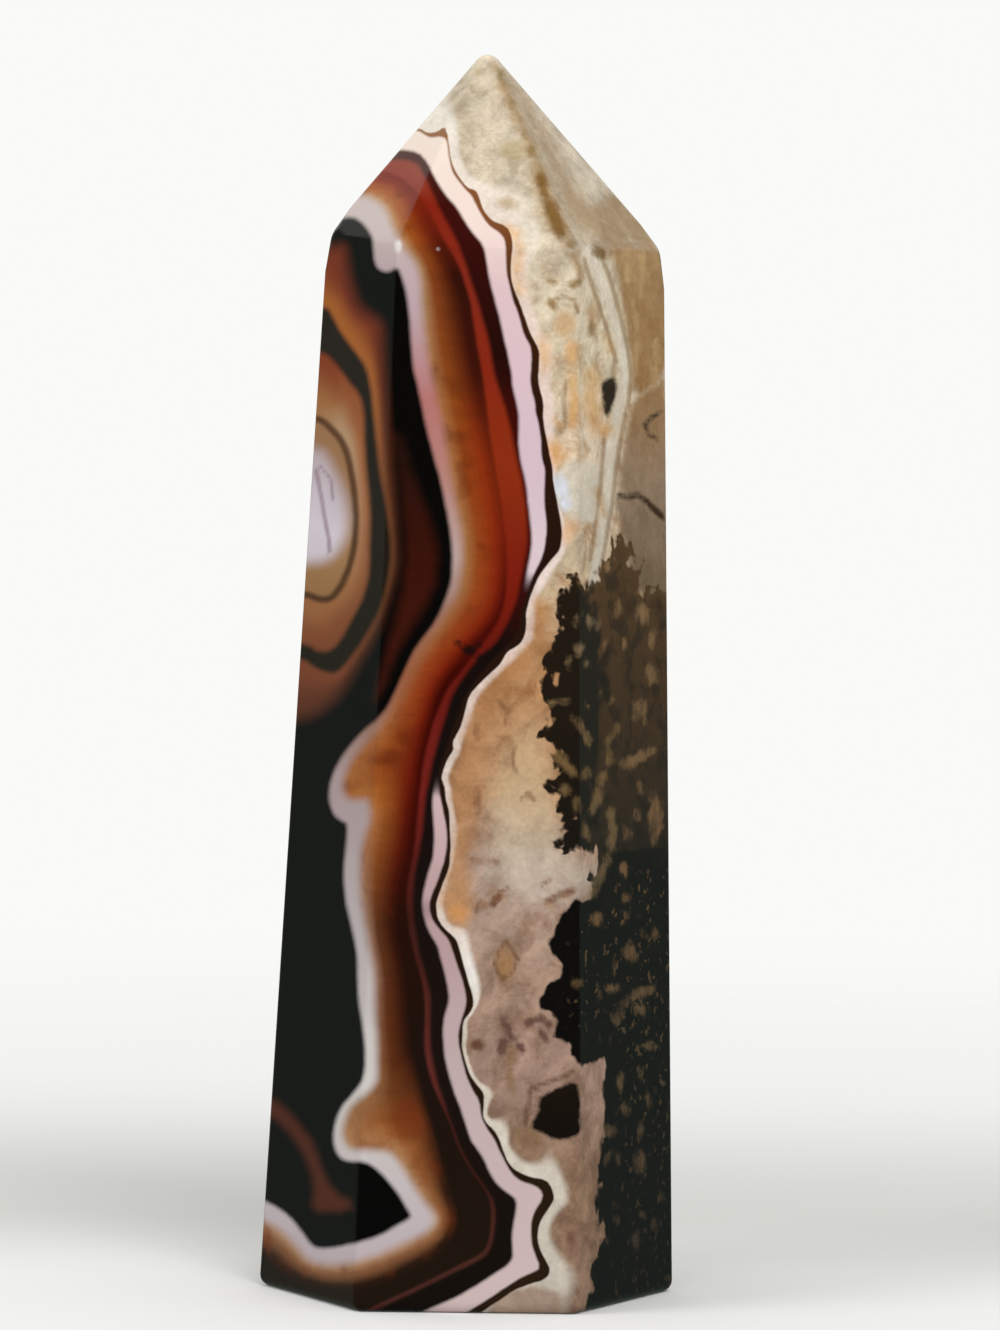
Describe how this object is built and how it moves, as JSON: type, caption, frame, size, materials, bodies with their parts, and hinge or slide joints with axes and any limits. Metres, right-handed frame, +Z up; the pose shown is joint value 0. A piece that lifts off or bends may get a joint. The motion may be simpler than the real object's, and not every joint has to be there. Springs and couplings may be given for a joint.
{
  "type": "banded agate tower",
  "caption": "Polished banded agate tower, a tapering six-sided column that ends in a point and stands on a flat foot.",
  "frame": {"origin": "middle of the flat foot that the tower stands on", "axes": "+Z up along the tower, -Y out of the front facet, +X to the right as seen from the front"},
  "size_m": [0.0334, 0.0288, 0.0999],
  "materials": {
    "agate": "polished"
  },
  "bodies": {
    "root": {"agate_tower": "agate"}
  },
  "joints": []
}
